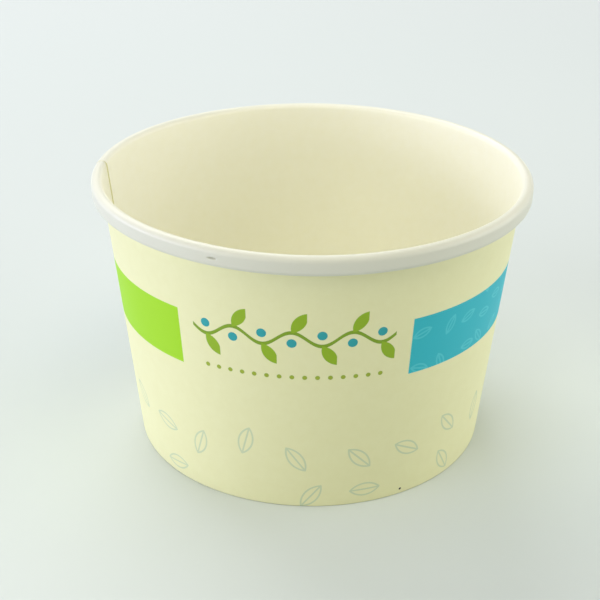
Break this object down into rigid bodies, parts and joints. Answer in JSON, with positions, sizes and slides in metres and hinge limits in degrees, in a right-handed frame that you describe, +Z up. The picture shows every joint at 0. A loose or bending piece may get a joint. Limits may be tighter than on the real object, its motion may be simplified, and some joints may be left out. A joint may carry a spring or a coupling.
{
  "type": "paper dessert cup",
  "caption": "Tapered round cup of coated paperboard with a rolled rim, a lapped side seam and a recessed bottom disc, for a cold dessert.",
  "frame": {"origin": "centre of the foot, on the surface that the cup stands on", "axes": "+Z up along the cup's axis, out of its mouth; the side seam is on -X"},
  "size_m": [0.0963, 0.096, 0.062],
  "materials": {
    "sidewall_board": "cream coated board, satin, printed outside",
    "base_board": "cream coated board, satin"
  },
  "bodies": {
    "root": {"sidewall": "sidewall_board", "bottom_disc": "base_board"}
  },
  "joints": []
}
